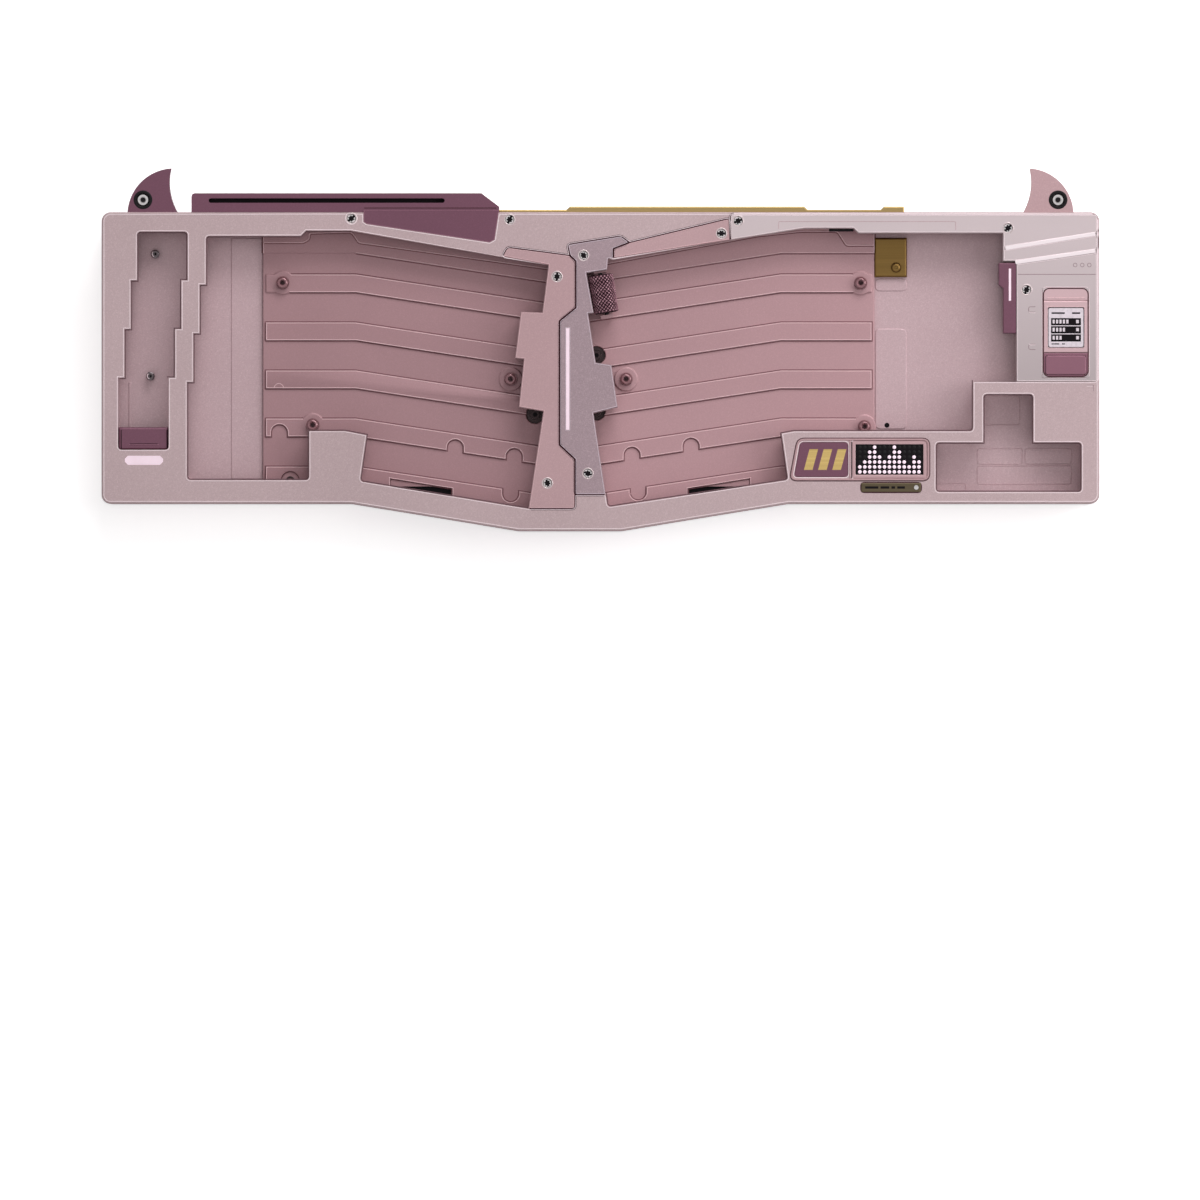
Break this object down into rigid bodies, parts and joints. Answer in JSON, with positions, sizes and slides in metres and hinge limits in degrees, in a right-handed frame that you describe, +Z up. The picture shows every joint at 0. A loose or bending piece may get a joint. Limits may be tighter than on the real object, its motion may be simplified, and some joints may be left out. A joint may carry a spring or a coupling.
{
  "type": "angled ergonomic keyboard",
  "caption": "Wide split-angle keyboard case kit with stepped key openings, inlaid centre panels, small screen, dot-matrix window, roller, rear horns and sliding underside latches.",
  "frame": {"origin": "centre of the outline on the table under the case", "axes": "+X to the user's right, +Y away from the user, +Z up"},
  "size_m": [0.3944, 0.1428, 0.0327],
  "materials": {
    "top_shell": "fine sparkling paint",
    "bottom_shell": "fine sparkling paint",
    "cover_pink": "fine sparkling paint",
    "weight": "brushed champagne",
    "inlay": "polished",
    "brass": "brushed",
    "plum": "satin anodised",
    "plum_button": "satin anodised",
    "pink": "satin anodised",
    "mauve": "satin anodised",
    "glossy_panel": "glossy",
    "felt": "felt",
    "steel": "polished",
    "bed": "matte",
    "latch": "satin anodised",
    "rubber": "matte",
    "frame_metal": "satin anodised",
    "glass": "clear",
    "screen": "lit panel",
    "board": "circuit board",
    "light": "diffusing",
    "bronze": "dark patina",
    "switch": "matte",
    "knurled": "knurled anodised"
  },
  "bodies": {
    "case": {"top_case": "top_shell", "bottom_case": "bottom_shell", "rear_cover": "cover_pink", "weight_plate": "weight", "weight_inlay": "inlay", "rear_bumper": "brass", "rear_bar": "plum", "felt_strip": "felt", "horn_left": "plum", "horn_right": "pink", "horn_screws": "steel", "front_lip": "plum", "centre_panel_left": "pink", "centre_panel_right": "mauve", "wedge_panel": "pink", "side_panel": "glossy_panel", "deck_screws": "steel", "corner_screws": "steel", "cover_screws": "steel", "key_bed_left": "bed", "key_bed_right": "bed", "standoffs": "steel", "bed_screws": "steel", "feet": "rubber", "display_frame": "frame_metal", "display_glass": "glass", "display_panel": "screen", "display_board": "board", "matrix_frame": "frame_metal", "matrix_lens": "glass", "matrix_board": "board", "matrix_dots": "light", "badge_plate": "frame_metal", "badge_inlay": "inlay", "bronze_tag": "bronze", "tag_rivet": "steel", "centre_light": "light", "pill_light": "light", "light_strips": "board", "side_bar": "plum", "side_light": "light", "column_switch": "switch", "column_spring": "steel", "column_posts": "bed", "roller_axle": "steel", "roller_bracket": "bed", "port_board": "board", "port": "steel", "corner_tab": "brass"},
    "release_left": {"latch_left": "latch", "latch_bolt_left": "latch"},
    "release_right": {"latch_right": "latch", "latch_bolt_right": "latch"},
    "screen_button": {"display_button": "plum_button"},
    "column_key": {"column_button": "plum_button"},
    "wheel": {"roller": "knurled"}
  },
  "joints": [
    {"name": "release_left_slide", "type": "slide", "parent": "case", "child": "release_left", "axis": [0, -1, 0], "range_m": [0, 0.003]},
    {"name": "release_right_slide", "type": "slide", "parent": "case", "child": "release_right", "axis": [0, -1, 0], "range_m": [0, 0.003]},
    {"name": "screen_button_press", "type": "slide", "parent": "case", "child": "screen_button", "axis": [0, 0.1045, -0.9945], "range_m": [0, 0.0008], "stiffness_N_per_m": 400, "springref_m": -0.0005},
    {"name": "column_key_press", "type": "slide", "parent": "case", "child": "column_key", "axis": [0, 0.1045, -0.9945], "range_m": [0, 0.0015], "stiffness_N_per_m": 300, "springref_m": -0.0005, "deforming": ["column_spring"]},
    {"name": "wheel_spin", "type": "hinge", "parent": "case", "child": "wheel", "pos_m": [0.0012, 0.02239, 0.02386], "axis": [-0.1564, 0.9823, 0.1032], "continuous": true}
  ]
}
